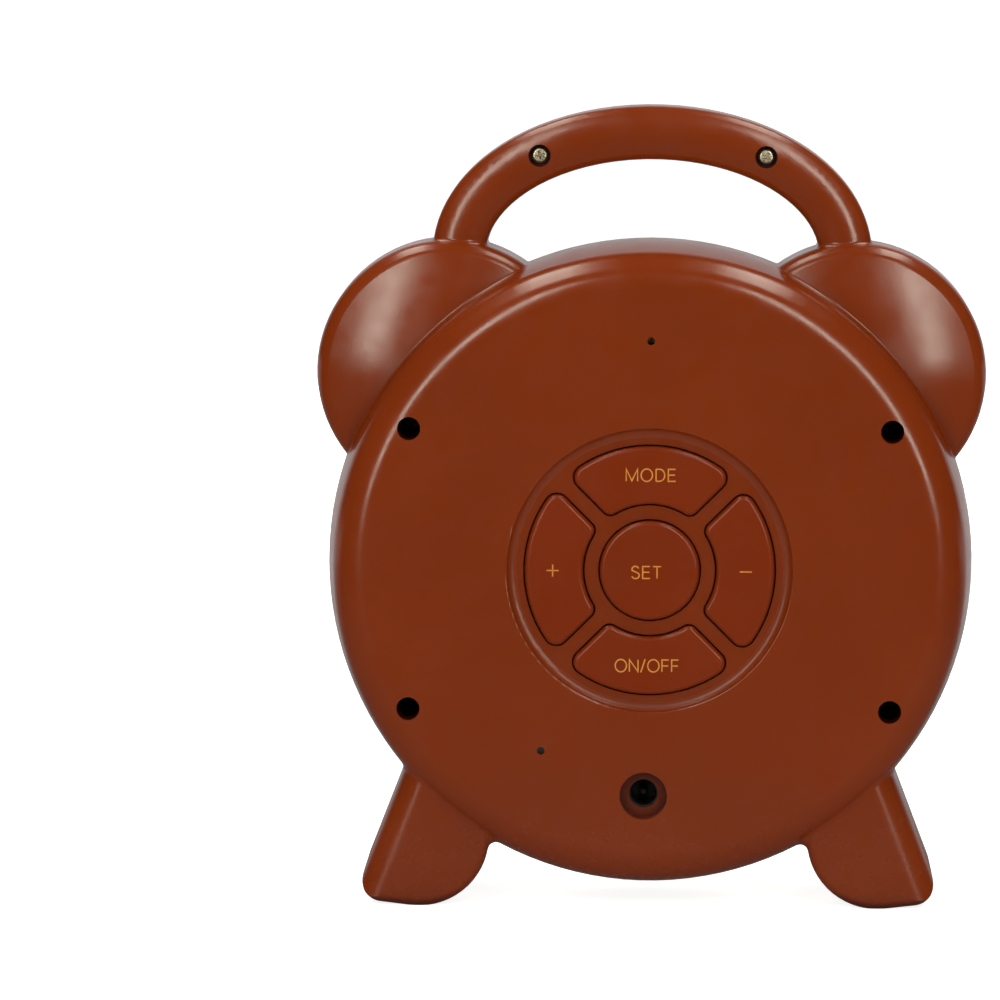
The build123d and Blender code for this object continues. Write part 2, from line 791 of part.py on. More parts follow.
def battery_cradle():
    """Open trough round the cell, with an end wall and a screwed lug at each end."""
    half_inside = cell_length / 2 + contact_gap + contact_thickness + seat_gap
    half_length = half_inside + cradle_wall
    half_height = cell_radius + seat_gap + cradle_wall
    lug_start = cradle_back - cradle_lug_thickness
    trough = plate(2 * half_length, 2 * half_height, 2, 0, cell_z, cell_y - cell_radius / 2, cradle_back)
    trough -= cell_rod(cell_radius + seat_gap, 2 * half_inside)
    mouth = Rectangle(2 * half_inside, 2 * (cell_radius + seat_gap))
    trough -= slab(Pos(0, cell_z) * mouth, cell_y - cell_radius, cell_y)
    for x, z in cradle_posts():
        # each lug reaches 2 mm into the trough's end
        trough += plate(cradle_lug + 2, 12, 1.5, x - x / abs(x), z, lug_start, cradle_back)
    for x, z in cradle_posts():
        trough -= rod(x, z, board_screw_radius + fit_gap, lug_start - 1, cradle_back + 1)
    return trough


def battery_contacts():
    """A sprung plate at each end of the cell, standing against the cradle's end walls."""
    middle = cell_length / 2 + contact_gap + contact_thickness / 2
    size = 1.3 * cell_radius
    plates = [Pos(side * middle, cell_y, cell_z) * Box(contact_thickness, size, size) for side in (1, -1)]
    return group(plates)


def screw(x, z, seat, side, shank, length, head, head_height):
    """Screw with a flat round head, whose shank runs from its seat towards side."""
    body = rod(x, z, shank, *sorted((seat, seat + side * length)))
    return body + rod(x, z, head, *sorted((seat, seat - side * head_height)))


def case_screws():
    shape = (case_screw_radius, case_screw_length, case_screw_head, case_screw_head_height)
    return group([screw(x, z, well_floor, -1, *shape) for x, z in case_wells()])


def handle_screws():
    shape = (handle_screw_radius, handle_screw_length, handle_screw_head, handle_screw_head_height)
    places = [handle_screw_x, -handle_screw_x]
    return group([screw(x, handle_screw_z, handle_well_floor, -1, *shape) for x in places])


def board_screws():
    """The small screws of all the boards and of the cradle."""
    seats = [(x, z, key_board_front, 1) for x, z in key_posts()]
    seats += [(x, z, main_board_y, 1) for x, z in main_posts()]
    seats += [(x, z, power_board_front, 1) for x, z in power_posts()]
    seats += [(x, z, display_board_rear, -1) for x, z in display_posts()]
    seats += [(x, z, cradle_back - cradle_lug_thickness, 1) for x, z in cradle_posts()]
    shape = (board_screw_radius, board_screw_length, board_screw_head, board_screw_head_height)
    return group([screw(x, z, seat, side, *shape) for x, z, seat, side in seats])


def build_parts():
    parts = {"rear_shell": rear_shell(), "front_shell": front_shell()}
    for name, (outline, x, z) in key_layout().items():
        parts[f"{name}_key"] = key_cap(outline, x, z)
        parts[f"{name}_plunger"] = key_plunger(x, z)
    parts["set_key"] -= finger_dish()
    parts["ear_insert_left"] = ear_insert(-1)
    parts["ear_insert_right"] = ear_insert(1)
    makers = (
        face_lens,
        display_window,
        reflector,
        lcd_holder,
        lcd_glass,
        light_guide,
        display_board,
        night_light_leds,
        main_board,
        main_chips,
        main_capacitors,
        display_header,
        key_header,
        key_board,
        key_switches,
        power_board,
        reset_switch,
        reset_plunger,
        dc_jack,
        dc_jack_pin,
        sounder_case,
        sounder_disc,
        battery_cell,
        battery_cradle,
        battery_contacts,
        case_screws,
        handle_screws,
        board_screws,
    )
    for maker in makers:
        parts[maker.__name__] = maker()
    return parts


os.makedirs("parts", exist_ok=True)
for name, shape in build_parts().items():
    export_step(Pos(0, 0, axis_height) * shape, f"parts/{name}.step")
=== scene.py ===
import bpy
import bmesh
import json
from math import cos, hypot, pi, radians, sin
from mathutils import Matrix, Quaternion, Vector
from mathutils.bvhtree import BVHTree


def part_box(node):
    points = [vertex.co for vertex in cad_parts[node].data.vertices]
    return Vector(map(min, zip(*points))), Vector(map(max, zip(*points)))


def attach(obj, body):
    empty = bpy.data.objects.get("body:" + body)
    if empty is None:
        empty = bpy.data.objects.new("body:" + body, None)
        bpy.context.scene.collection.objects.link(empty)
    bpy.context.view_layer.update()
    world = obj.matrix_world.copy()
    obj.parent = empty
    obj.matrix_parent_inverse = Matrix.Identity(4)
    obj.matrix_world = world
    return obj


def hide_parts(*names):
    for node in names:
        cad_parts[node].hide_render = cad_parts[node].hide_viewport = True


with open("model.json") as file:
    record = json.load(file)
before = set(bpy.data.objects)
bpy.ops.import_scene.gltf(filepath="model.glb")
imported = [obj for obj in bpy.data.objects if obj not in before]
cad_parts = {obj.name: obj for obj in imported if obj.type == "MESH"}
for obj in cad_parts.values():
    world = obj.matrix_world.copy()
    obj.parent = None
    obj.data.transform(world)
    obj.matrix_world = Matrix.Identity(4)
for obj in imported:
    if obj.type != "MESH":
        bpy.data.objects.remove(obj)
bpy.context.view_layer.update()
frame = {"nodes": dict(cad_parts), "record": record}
cadNodes = frame["nodes"]
scene = bpy.context.scene
print("frame loaded:", len(cadNodes), "nodes")

noiseRange = (0.35, 0.65)  # most of a noise's values lie in here
tiny = 1e-6  # lengths under this count as nothing


def newMaterial(name):
    material = bpy.data.materials.new(name)
    material.use_nodes = True
    nodes = material.node_tree.nodes
    return material, nodes, material.node_tree.links, nodes["Principled BSDF"]


# a number is set on the socket itself, anything else is linked to it
def feed(links, value, socket):
    if isinstance(value, (int, float)):
        socket.default_value = value
    else:
        links.new(value, socket)


# noise over the object, size metres from blob to blob
def speckle(nodes, links, size, detail):
    place = nodes.new("ShaderNodeTexCoord")
    noise = nodes.new("ShaderNodeTexNoise")
    noise.inputs["Scale"].default_value = 1 / size
    noise.inputs["Detail"].default_value = detail
    links.new(place.outputs["Object"], noise.inputs["Vector"])
    return noise.outputs["Fac"]


# value runs from low to high over the stretch across, and stays there outside it
def spread(nodes, links, value, low, high, across=noiseRange):
    reach = nodes.new("ShaderNodeMapRange")
    for socket, number in zip(("From Min", "From Max", "To Min", "To Max"), (*across, low, high)):
        reach.inputs[socket].default_value = number
    links.new(value, reach.inputs["Value"])
    return reach.outputs["Result"]


def blendColours(nodes, links, share, first, second):
    mix = nodes.new("ShaderNodeMix")
    mix.data_type = "RGBA"
    for socket, colour in (("A", first), ("B", second)):
        target = [i for i in mix.inputs if i.name == socket and i.type == "RGBA"][0]
        if isinstance(colour, tuple):
            target.default_value = (*colour, 1)
        else:
            links.new(colour, target)
    factor = [i for i in mix.inputs if i.name == "Factor" and i.type == "VALUE"][0]
    links.new(share, factor)
    return [o for o in mix.outputs if o.type == "RGBA"][0]


def mixNumbers(nodes, links, share, first, second):
    mix = nodes.new("ShaderNodeMix")
    mix.data_type = "FLOAT"
    for socket, value in (("Factor", share), ("A", first), ("B", second)):
        feed(links, value, mix.inputs[socket])
    return mix.outputs["Result"]


def mathNode(nodes, links, operation, *values):
    node = nodes.new("ShaderNodeMath")
    node.operation = operation
    for value, socket in zip(values, node.inputs):
        feed(links, value, socket)
    return node.outputs[0]


def shade(colour, factor):
    return tuple(min(1.0, c * factor) for c in colour)


def addGrain(nodes, links, skin, look):
    bump = nodes.new("ShaderNodeBump")
    bump.inputs["Strength"].default_value = look["bumpStrength"]
    bump.inputs["Distance"].default_value = look["grainDepth"]
    links.new(speckle(nodes, links, look["grainSize"], detail=2), bump.inputs["Height"])
    links.new(bump.outputs["Normal"], skin.inputs["Normal"])


# extra roughness where the case is rubbed: on the sloping wall round the keys and towards the ground
def wearOf(nodes, links, look):
    place = nodes.new("ShaderNodeTexCoord").outputs["Object"]
    away = nodes.new("ShaderNodeVectorMath")
    away.operation = "DISTANCE"
    links.new(place, away.inputs[0])
    away.inputs[1].default_value = look["wornCentre"]
    offset = mathNode(nodes, links, "SUBTRACT", away.outputs["Value"], look["wornRing"])
    apart = mathNode(nodes, links, "ABSOLUTE", offset)
    ring = spread(nodes, links, apart, look["wornDull"], 0, look["wornEdge"])
    parts = nodes.new("ShaderNodeSeparateXYZ")
    links.new(place, parts.inputs[0])
    low = spread(nodes, links, parts.outputs["Z"], look["lowDull"], 0, look["lowReach"])
    return mathNode(nodes, links, "ADD", ring, low)


# 0 deep in a crease or recess, 1 on an open face; it sets where shade is painted and where the plastic is
# duller
def opennessOf(nodes, links, look):
    shelter = nodes.new("ShaderNodeAmbientOcclusion")
    shelter.samples = look["creaseSamples"]
    shelter.inputs["Distance"].default_value = look["creaseReach"]
    return spread(nodes, links, shelter.outputs["AO"], 0, 1, look["creaseRange"])


plasticSockets = {
    "Specular IOR Level": "specular", "IOR": "ior", "Coat Weight": "coat", "Coat Roughness": "coatRoughness",
    "Subsurface Weight": "glow", "Subsurface Radius": "glowReach", "Transmission Weight": "clear",
}


# moulded plastic: broad colour drift, a few pale dust specks, uneven sheen and a fine tool texture; where
# asked, painted shade darkens creases and recesses
def mouldedPlastic(name, look):
    material, nodes, links, skin = newMaterial(name)
    colour = look["colour"]
    drift = spread(nodes, links, speckle(nodes, links, look["driftSize"], detail=1), 0, 1)
    darker, lighter = shade(colour, 1 - look["drift"]), shade(colour, 1 + look["drift"])
    broad = blendColours(nodes, links, drift, darker, lighter)
    dust = speckle(nodes, links, look["speckSize"], detail=1)
    specks = spread(nodes, links, dust, 0, look["speck"], look["speckFrom"])
    dustAndPaintedShade = blendColours(nodes, links, specks, broad, look["speckColour"])
    glossy, dull = look["roughness"] - look["roughnessDrift"], look["roughness"] + look["roughnessDrift"]
    sheen = spread(nodes, links, speckle(nodes, links, look["sheenSize"], detail=3), glossy, dull)
    if "wornRing" in look:
        sheen = mathNode(nodes, links, "ADD", sheen, wearOf(nodes, links, look))
    # painted shade: the crease colour darkens creases and recesses by their occlusion, and they are made
    # duller too
    if "creaseReach" in look:  # creases and recesses are darker and duller
        openness = opennessOf(nodes, links, look)
        dustAndPaintedShade = blendColours(nodes, links, openness, look["paintedCreaseShade"], dustAndPaintedShade)
        sheen = mixNumbers(nodes, links, openness, look["creaseRoughness"], sheen)
    links.new(dustAndPaintedShade, skin.inputs["Base Color"])
    links.new(sheen, skin.inputs["Roughness"])
    addGrain(nodes, links, skin, look)
    for socket, setting in plasticSockets.items():
        skin.inputs[socket].default_value = look[setting]
    skin.inputs["Subsurface Scale"].default_value = 1.0  # glowReach is in metres
    return material


# plated or turned metal with fine marks and dull patches
def machinedMetal(name, look):
    material, nodes, links, skin = newMaterial(name)
    colour = look["colour"]
    patches = spread(nodes, links, speckle(nodes, links, look["patchSize"], detail=3), 0, 1)
    darker = shade(colour, look["patchShade"])
    links.new(blendColours(nodes, links, patches, darker, colour), skin.inputs["Base Color"])
    bright, dull = [look["roughness"] * factor for factor in look["dullRange"]]
    dullness = spread(nodes, links, speckle(nodes, links, look["patchSize"] / look["finer"], detail=2),
                      bright, dull)
    links.new(dullness, skin.inputs["Roughness"])
    addGrain(nodes, links, skin, look)
    skin.inputs["Metallic"].default_value = 1.0
    return material


# sizes in metres; drift, speck and dullRange are shares of the colour or the roughness
plasticBase = {
    "driftSize": 0.03, "drift": 0.03, "sheenSize": 0.006, "roughness": 0.32, "roughnessDrift": 0.03,
    "grainSize": 0.0006, "grainDepth": 0.000025, "bumpStrength": 0.45, "specular": 0.5, "ior": 1.5,
    "speckSize": 0.0007, "speck": 0.25, "speckFrom": (0.83, 0.88), "speckColour": (0.45, 0.3, 0.22),
    "coat": 0.0, "coatRoughness": 0.1, "clear": 0.0, "glow": 0.0, "glowReach": (0.003, 0.002, 0.001),
}
# painted shade in creases and recesses, found by ambient occlusion, with duller roughness there
shadedCreases = {
    "creaseReach": 0.006, "creaseRange": (0.3, 0.86), "creaseSamples": 6,
    "paintedCreaseShade": (0.07, 0.008, 0.0008), "creaseRoughness": 0.3,
}
metalBase = {
    "patchSize": 0.0012, "patchShade": 0.8, "finer": 3, "dullRange": (0.7, 1.4),
    "grainSize": 0.0002, "grainDepth": 0.00001, "bumpStrength": 0.4,
}

finishes = {
    "case_plastic": mouldedPlastic("casePlastic", {
        **plasticBase, "colour": (0.192, 0.027, 0.0032), "roughness": 0.2, **shadedCreases,
        "wornCentre": (0, 0.0245, 0.0844), "wornRing": 0.0338, "wornEdge": (0.0008, 0.0013),
        "wornDull": 0.13, "lowReach": (0.016, 0.034), "lowDull": 0.07}),
    "key_plastic": mouldedPlastic("keyPlastic", {
        **plasticBase, "colour": (0.187, 0.022, 0.0016), "roughness": 0.24, "specular": 0.35,
        **shadedCreases}),
    "amber_plastic": mouldedPlastic("amberPlastic", {
        **plasticBase, "colour": (0.42, 0.11, 0.004), "roughness": 0.2, "drift": 0.06, "driftSize": 0.015,
        "coat": 0.5, "glow": 0.1, "bumpStrength": 0.1}),
    "face_plastic": mouldedPlastic("facePlastic", {
        **plasticBase, "colour": (0.86, 0.7, 0.45), "roughness": 0.35, "drift": 0.02, "driftSize": 0.025,
        "bumpStrength": 0.25, "glow": 0.6, "glowReach": (0.006, 0.004, 0.002)}),
    "smoked_plastic": mouldedPlastic("smokedPlastic", {
        **plasticBase, "colour": (0.66, 0.64, 0.6), "roughness": 0.05, "roughnessDrift": 0.01,
        "clear": 1.0, "ior": 1.49, "bumpStrength": 0.0}),
    "white_plastic": mouldedPlastic("whitePlastic", {
        **plasticBase, "colour": (0.8, 0.79, 0.75), "roughness": 0.4}),
    "clear_plastic": mouldedPlastic("clearPlastic", {
        **plasticBase, "colour": (0.86, 0.88, 0.86), "roughness": 0.08, "clear": 0.9, "ior": 1.49}),
    "display_glass": mouldedPlastic("displayGlass", {
        **plasticBase, "colour": (0.52, 0.6, 0.47), "roughness": 0.25, "drift": 0.02, "bumpStrength": 0.05}),
    "board_laminate": mouldedPlastic("boardLaminate", {
        **plasticBase, "colour": (0.015, 0.13, 0.05), "roughness": 0.35, "driftSize": 0.006, "drift": 0.12,
        "speck": 0.4, "speckFrom": (0.5, 0.8), "speckColour": (0.03, 0.2, 0.09)}),
    "black_plastic": mouldedPlastic("blackPlastic", {
        **plasticBase, "colour": (0.012, 0.011, 0.011), "roughness": 0.38, "drift": 0.2}),
    "lamp_plastic": mouldedPlastic("lampPlastic", {
        **plasticBase, "colour": (0.85, 0.76, 0.4), "roughness": 0.2, "glow": 0.4}),
    "cell_sleeve": mouldedPlastic("cellSleeve", {
        **plasticBase, "colour": (0.03, 0.08, 0.24), "roughness": 0.2, "coat": 0.3}),
    "print_ink": mouldedPlastic("printInk", {
        **plasticBase, "colour": (0.63, 0.235, 0.028), "roughness": 0.5, "drift": 0.08, "driftSize": 0.001,
        "grainSize": 0.00015, "speck": 0.3, "speckFrom": (0.5, 0.8), "speckColour": (0.4, 0.1, 0.015)}),
    "segment_ink": mouldedPlastic("segmentInk", {
        **plasticBase, "colour": (0.012, 0.014, 0.016), "roughness": 0.35, "bumpStrength": 0.05}),
    "steel": machinedMetal("screwSteel", {
        **metalBase, "colour": (0.9, 0.82, 0.64), "roughness": 0.35}),
    # near-black steel: painted shade for the jack's pin deep in its bore
    "dark_steel": machinedMetal("darkSteelPaintedShade", {
        **metalBase, "colour": (0.03, 0.028, 0.027), "roughness": 0.4}),
    "blackened_steel": machinedMetal("blackenedSteel", {
        **metalBase, "colour": (0.03, 0.03, 0.032), "roughness": 0.4}),
    "capacitor_can": machinedMetal("capacitorCan", {
        **metalBase, "colour": (0.62, 0.63, 0.66), "roughness": 0.3, "patchSize": 0.004,
        "grainSize": 0.0003}),
    "brass": machinedMetal("brassDisc", {
        **metalBase, "colour": (0.7, 0.48, 0.16), "roughness": 0.3, "patchSize": 0.003,
        "grainSize": 0.0003}),
}

# the jack's pin takes near-black steel instead of the steel of its own slot: painted shade of its deep, dark
# bore
finishOf = {"dc_jack_pin": "dark_steel"}
slotOf = {row["node"]: row["material_slot"] for row in frame["record"]["subparts"]}
for nodeName, node in cadNodes.items():
    usual = "key_plastic" if nodeName.endswith("_key") else slotOf[nodeName]
    finish = finishes[finishOf.get(nodeName, usual)]
    if not node.material_slots:
        node.data.materials.append(finish)
    for materialSlot in node.material_slots:
        materialSlot.material = finish
print("finishes laid on the frame:", len(finishes))


def meshFrom(built, name):
    mesh = bpy.data.meshes.new(name)
    built.to_mesh(mesh)
    built.free()
    return mesh


# links a finished mesh as a piece of the clock
def pieceFrom(name, mesh, finish, body):
    mesh.materials.append(finishes[finish])
    piece = bpy.data.objects.new(name, mesh)
    scene.collection.objects.link(piece)
    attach(piece, body)
    return piece


def smoothBy(mesh, angle):
    for polygon in mesh.polygons:
        polygon.use_smooth = True
    mesh.set_sharp_from_angle(angle=angle)


# cross-head screws, bright in the handle and black deep in the wells; seat is how far the underside of
# their heads lies below the top of the frame's screws
handleScrew = {
    "piece": "handleScrews", "node": "handle_screws", "finish": "steel", "seat": 0.0017,
    "head": 0.0021, "headHeight": 0.00165, "side": 0.0006, "core": 0.00085, "thread": 0.00022,
    "pitch": 0.0009, "length": 0.0089, "cross": 0.0013, "arm": 0.00055, "crossDepth": 0.00105}
caseScrew = {
    "piece": "caseScrews", "node": "case_screws", "finish": "blackened_steel", "seat": 0.002,
    "head": 0.00245, "headHeight": 0.0019, "side": 0.0007, "core": 0.0011, "thread": 0.00027,
    "pitch": 0.0011, "length": 0.0199, "cross": 0.0016, "arm": 0.00052, "crossDepth": 0.0012}

# what both screws share; lengths in metres, angles in degrees
screwShape = {
    "corners": 40,
    "ringsPerTurn": 8,
    "pointWidth": 0.3,  # share of the core
    "taper": 0.12,  # share of the length
    "firstRing": 0.2,  # share of the taper, above the point
    "blunt": 0.4,  # share of the core left at the point's end of the taper
    "neck": 0.0003,  # plain shank under the head
    "flank": 3.2,  # steepness of the thread
    "underside": 0.97,  # share of the head's radius, as are crown and flat
    "bevel": 0.00012,
    "crown": 0.62,
    "flat": 0.3,
    "domeRings": 8,
    "domeRise": 0.97,  # share of the dome's height
    "smoothUpTo": 35,
    "firstTurn": 17,
    "turnStep": 37,
    "apart": 0.008,  # points nearer than this are of one screw
}
crossShape = {"margin": 0.0003, "mouth": 0.92, "foot": 0.45}  # shares of the cross's width


# joins rings of (radius, height) into a closed skin about Z, each radius changed by twist
def latheRings(mesh, rings, steps, twist):
    loops = []
    for radius, height in rings:
        loop = []
        for i in range(steps):
            angle = 2 * pi * i / steps
            r = twist(radius, height, angle)
            loop.append(mesh.verts.new((r * cos(angle), r * sin(angle), height)))
        loops.append(loop)
    for low, high in zip(loops, loops[1:]):
        for i in range(steps):
            j = (i + 1) % steps
            mesh.faces.new((low[i], low[j], high[j], high[i]))
    mesh.faces.new(loops[-1])
    mesh.faces.new(list(reversed(loops[0])))


# pan head above z = 0 and a threaded, pointed shank below it
def screwMesh(name, look):
    shape = screwShape
    core, length, head = look["core"], look["length"], look["head"]

    def threaded(radius, height, angle):
        if height > -shape["neck"] or radius > core + tiny:
            return radius
        turn = (height / look["pitch"] - angle / (2 * pi)) % 1
        return radius + look["thread"] * max(0.0, 1 - abs(turn - 0.5) * shape["flank"])

    rings = [(core * shape["pointWidth"], -length)]
    taper = length * shape["taper"]
    start = taper * shape["firstRing"]
    count = int(length / look["pitch"] * shape["ringsPerTurn"])
    for i in range(count + 1):
        height = -length + start + (length - start) * i / count
        narrowing = min(1.0, shape["blunt"] + (1 - shape["blunt"]) * (height + length) / taper)
        rings.append((core * narrowing, height))
    rings += [(head * shape["underside"], 0.0), (head, shape["bevel"]), (head, look["side"])]
    dome = look["headHeight"] - look["side"]
    for i in range(1, shape["domeRings"] + 1):
        angle = pi / 2 * i / shape["domeRings"]
        radius = head * (shape["crown"] + (1 - shape["crown"]) * cos(angle))
        rings.append((radius, look["side"] + dome * sin(angle) * shape["domeRise"]))
    rings.append((head * shape["flat"], look["headHeight"]))
    built = bmesh.new()
    latheRings(built, rings, shape["corners"], threaded)
    return meshFrom(built, name)


# tapered cross that cuts a screw's recess
def crossCutter(look):
    built = bmesh.new()
    arm, reach = look["arm"] / 2, look["cross"]
    outline = [(arm, arm), (arm, reach), (-arm, reach), (-arm, arm), (-reach, arm), (-reach, -arm),
               (-arm, -arm), (-arm, -reach), (arm, -reach), (arm, -arm), (reach, -arm), (reach, arm)]
    levels = []
    for share, height in ((1.0, look["headHeight"] + crossShape["margin"]),
                          (crossShape["mouth"], look["headHeight"] - crossShape["margin"]),
                          (crossShape["foot"], look["headHeight"] - look["crossDepth"])):
        levels.append([built.verts.new((x * share, y * share, height)) for x, y in outline])
    for high, low in zip(levels, levels[1:]):
        for i in range(len(outline)):
            j = (i + 1) % len(outline)
            built.faces.new((high[i], low[i], low[j], high[j]))
    built.faces.new(levels[0])
    built.faces.new(list(reversed(levels[-1])))
    bmesh.ops.recalc_face_normals(built, faces=built.faces)
    return meshFrom(built, "crossCutter")


# the mesh with the cutter taken out of it
def cutAway(mesh, cutterMesh):
    blank = bpy.data.objects.new("blank", mesh)
    tool = bpy.data.objects.new("tool", cutterMesh)
    scene.collection.objects.link(blank)
    scene.collection.objects.link(tool)
    cut = blank.modifiers.new("cut", "BOOLEAN")
    cut.operation = "DIFFERENCE"
    cut.solver = "EXACT"
    cut.object = tool
    bpy.context.view_layer.update()
    result = bpy.data.meshes.new_from_object(blank.evaluated_get(bpy.context.evaluated_depsgraph_get()))
    bpy.data.objects.remove(blank)
    bpy.data.objects.remove(tool)
    return result


# one piece of several screws, their heads facing +Y, each turned a little differently
def placeScrews(name, nodeName, look, places, seat):
    single = cutAway(screwMesh(name, look), crossCutter(look))
    joined = bmesh.new()
    for index, (x, z) in enumerate(places):
        copy = single.copy()
        turn = Matrix.Rotation(radians(screwShape["firstTurn"] + screwShape["turnStep"] * index), 4, "Z")
        upright = Matrix.Rotation(radians(-90), 4, "X")
        copy.transform(Matrix.Translation((x, seat, z)) @ upright @ turn)
        joined.from_mesh(copy)
        bpy.data.meshes.remove(copy)
    mesh = meshFrom(joined, name)
    smoothBy(mesh, radians(screwShape["smoothUpTo"]))
    piece = pieceFrom(name, mesh, look["finish"], "case")
    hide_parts(nodeName)


# centres in X and Z of the separate screws of a node, from its own mesh
def screwCentres(nodeName):
    screws = []
    for vertex in cadNodes[nodeName].data.vertices:
        x, z = vertex.co.x, vertex.co.z
        near = [found for found in screws if hypot(x - found[0][0], z - found[0][1]) < screwShape["apart"]]
        if near:
            near[0].append((x, z))
        else:
            screws.append([(x, z)])
    centres = []
    for found in screws:
        xs, zs = [p[0] for p in found], [p[1] for p in found]
        centres.append(((min(xs) + max(xs)) / 2, (min(zs) + max(zs)) / 2))
    return centres


for look in (handleScrew, caseScrew):
    nodeName = look["node"]
    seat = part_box(nodeName)[1].y - look["seat"]
    placeScrews(look["piece"], nodeName, look, screwCentres(nodeName), seat)
print("screws made")


# the points of part of an ellipse, from angle start to angle end in degrees
def arcPoints(cx, cy, rx, ry, start, end, steps):
    return [(cx + rx * cos(radians(start + (end - start) * i / steps)),
             cy + ry * sin(radians(start + (end - start) * i / steps))) for i in range(steps + 1)]


# printed words on the keys, drawn as flat strokes; mitres are the least cosine and the most reach, in
# widths, that a stroke's corner is drawn out by
lettering = {"stroke": 0.00033, "proud": 0.00003, "mitreCosine": 0.35, "mitreReach": 1.3}

# each letter for a cap height of 1: its width and its strokes
letters = {
    "M": (0.94, [[(0, 0), (0, 1), (0.47, 0.02), (0.94, 1), (0.94, 0)]]),
    "O": (0.94, [arcPoints(0.47, 0.5, 0.47, 0.52, 90, 450, 36)]),
    "D": (0.72, [[(0, 0), (0, 1)],
                 [(0, 1), (0.28, 1)] + arcPoints(0.28, 0.5, 0.44, 0.5, 90, -90, 20)[1:] + [(0, 0)]]),
    "E": (0.6, [[(0.6, 1), (0, 1), (0, 0), (0.62, 0)], [(0, 0.52), (0.56, 0.52)]]),
    "S": (0.68, [arcPoints(0.33, 0.755, 0.28, 0.26, 18, 200, 14)
                 + arcPoints(0.35, 0.245, 0.31, 0.26, 70, -165, 18)]),
    "T": (0.66, [[(0, 1), (0.66, 1)], [(0.33, 1), (0.33, 0)]]),
    "N": (0.72, [[(0, 0), (0, 1), (0.72, 0), (0.72, 1)]]),
    "F": (0.56, [[(0.57, 1), (0, 1), (0, 0)], [(0, 0.5), (0.52, 0.5)]]),
    "/": (0.32, [[(-0.02, -0.06), (0.34, 1.06)]]),
    "+": (1.0, [[(0, 0.5), (1, 0.5)], [(0.5, 0), (0.5, 1)]]),
    "-": (1.0, [[(0, 0.5), (1, 0.5)]]),
}


# a flat stroke of even width along points in X and Y, with a little thickness in Z
def ribbon(mesh, points, width, closed, thickness):
    path = [Vector(p) for p in points]
    if closed:
        path = path[:-1]
    count = len(path)
    left, right = [], []
    for i, p in enumerate(path):
        before = path[i - 1] if i or closed else None
        after = path[(i + 1) % count] if i < count - 1 or closed else None
        into = (p - before).normalized() if before is not None else (after - p).normalized()
        out = (after - p).normalized() if after is not None else into
        middle = (into + out).normalized() if (into + out).length > tiny else into
        side = Vector((-middle.y, middle.x))
        cosine = max(lettering["mitreCosine"], side.dot(Vector((-into.y, into.x))))
        reach = min(width / 2 / cosine, width * lettering["mitreReach"])
        left.append(p + side * reach)
        right.append(p - side * reach)
    rows = []
    for a, b in zip(left, right):
        rows.append([mesh.verts.new((a.x, a.y, 0)), mesh.verts.new((b.x, b.y, 0)),
                     mesh.verts.new((b.x, b.y, thickness)), mesh.verts.new((a.x, a.y, thickness))])
    pairs = list(zip(rows, rows[1:]))
    if closed:
        pairs.append((rows[-1], rows[0]))
    else:
        mesh.faces.new(rows[0])
        mesh.faces.new(list(reversed(rows[-1])))
    for low, high in pairs:
        for i in range(4):
            j = (i + 1) % 4
            mesh.faces.new((low[i], high[i], high[j], low[j]))


# a word centred on the origin, in X and Y
def wordMesh(name, word, capHeight, gap):
    widths = [letters[c][0] * capHeight for c in word]
    total = sum(widths) + gap * (len(word) - 1)
    letterStart = -total / 2
    built = bmesh.new()
    for character, width in zip(word, widths):
        for strokePoints in letters[character][1]:
            points = [(letterStart + x * capHeight, (y - 0.5) * capHeight) for x, y in strokePoints]
            closed = hypot(points[0][0] - points[-1][0], points[0][1] - points[-1][1]) < tiny
            ribbon(built, points, lettering["stroke"], closed, lettering["proud"])
        letterStart += width + gap
    bmesh.ops.recalc_face_normals(built, faces=built.faces)
    return meshFrom(built, name)


# moves the points of a word, which starts at y = 0, onto the key in front of them
def layOn(mesh, node):
    corners = [vertex.co for vertex in node.data.vertices]
    skin = BVHTree.FromPolygons(corners, [polygon.vertices for polygon in node.data.polygons])
    for vertex in mesh.vertices:
        outside = Vector((vertex.co.x, 1, vertex.co.z))
        vertex.co.y += skin.ray_cast(outside, Vector((0, -1, 0)))[0].y


# each word: its height, the gap between letters and its place from the middle of the ring of keys
keyWords = {
    "mode": {"word": "MODE", "height": 0.00295, "gap": 0.00088, "x": -0.00015, "z": 0.0236},
    "set": {"word": "SET", "height": 0.00295, "gap": 0.00078, "x": 0.00085, "z": -0.00045},
    "on_off": {"word": "ON/OFF", "height": 0.00295, "gap": 0.00072, "x": 0.00055, "z": -0.0235},
    "plus": {"word": "+", "height": 0.003, "gap": 0, "x": 0.0238, "z": -0.0001},
    "minus": {"word": "-", "height": 0.003, "gap": 0, "x": -0.0236, "z": -0.0001},
}
ringLow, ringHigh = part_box("set_key")
ringX, ringZ = (ringLow.x + ringHigh.x) / 2, (ringLow.z + ringHigh.z) / 2
towardsRear = Matrix(((-1, 0, 0, 0), (0, 0, 1, 0), (0, 1, 0, 0), (0, 0, 0, 1)))  # the word's right is -X
for keyName, look in keyWords.items():
    mesh = wordMesh(keyName + "Print", look["word"], look["height"], look["gap"])
    mesh.transform(Matrix.Translation((ringX + look["x"], 0, ringZ + look["z"])) @ towardsRear)
    layOn(mesh, cadNodes[keyName + "_key"])
    pieceFrom(keyName + "Print", mesh, "print_ink", keyName + "_button")
print("key lettering made")


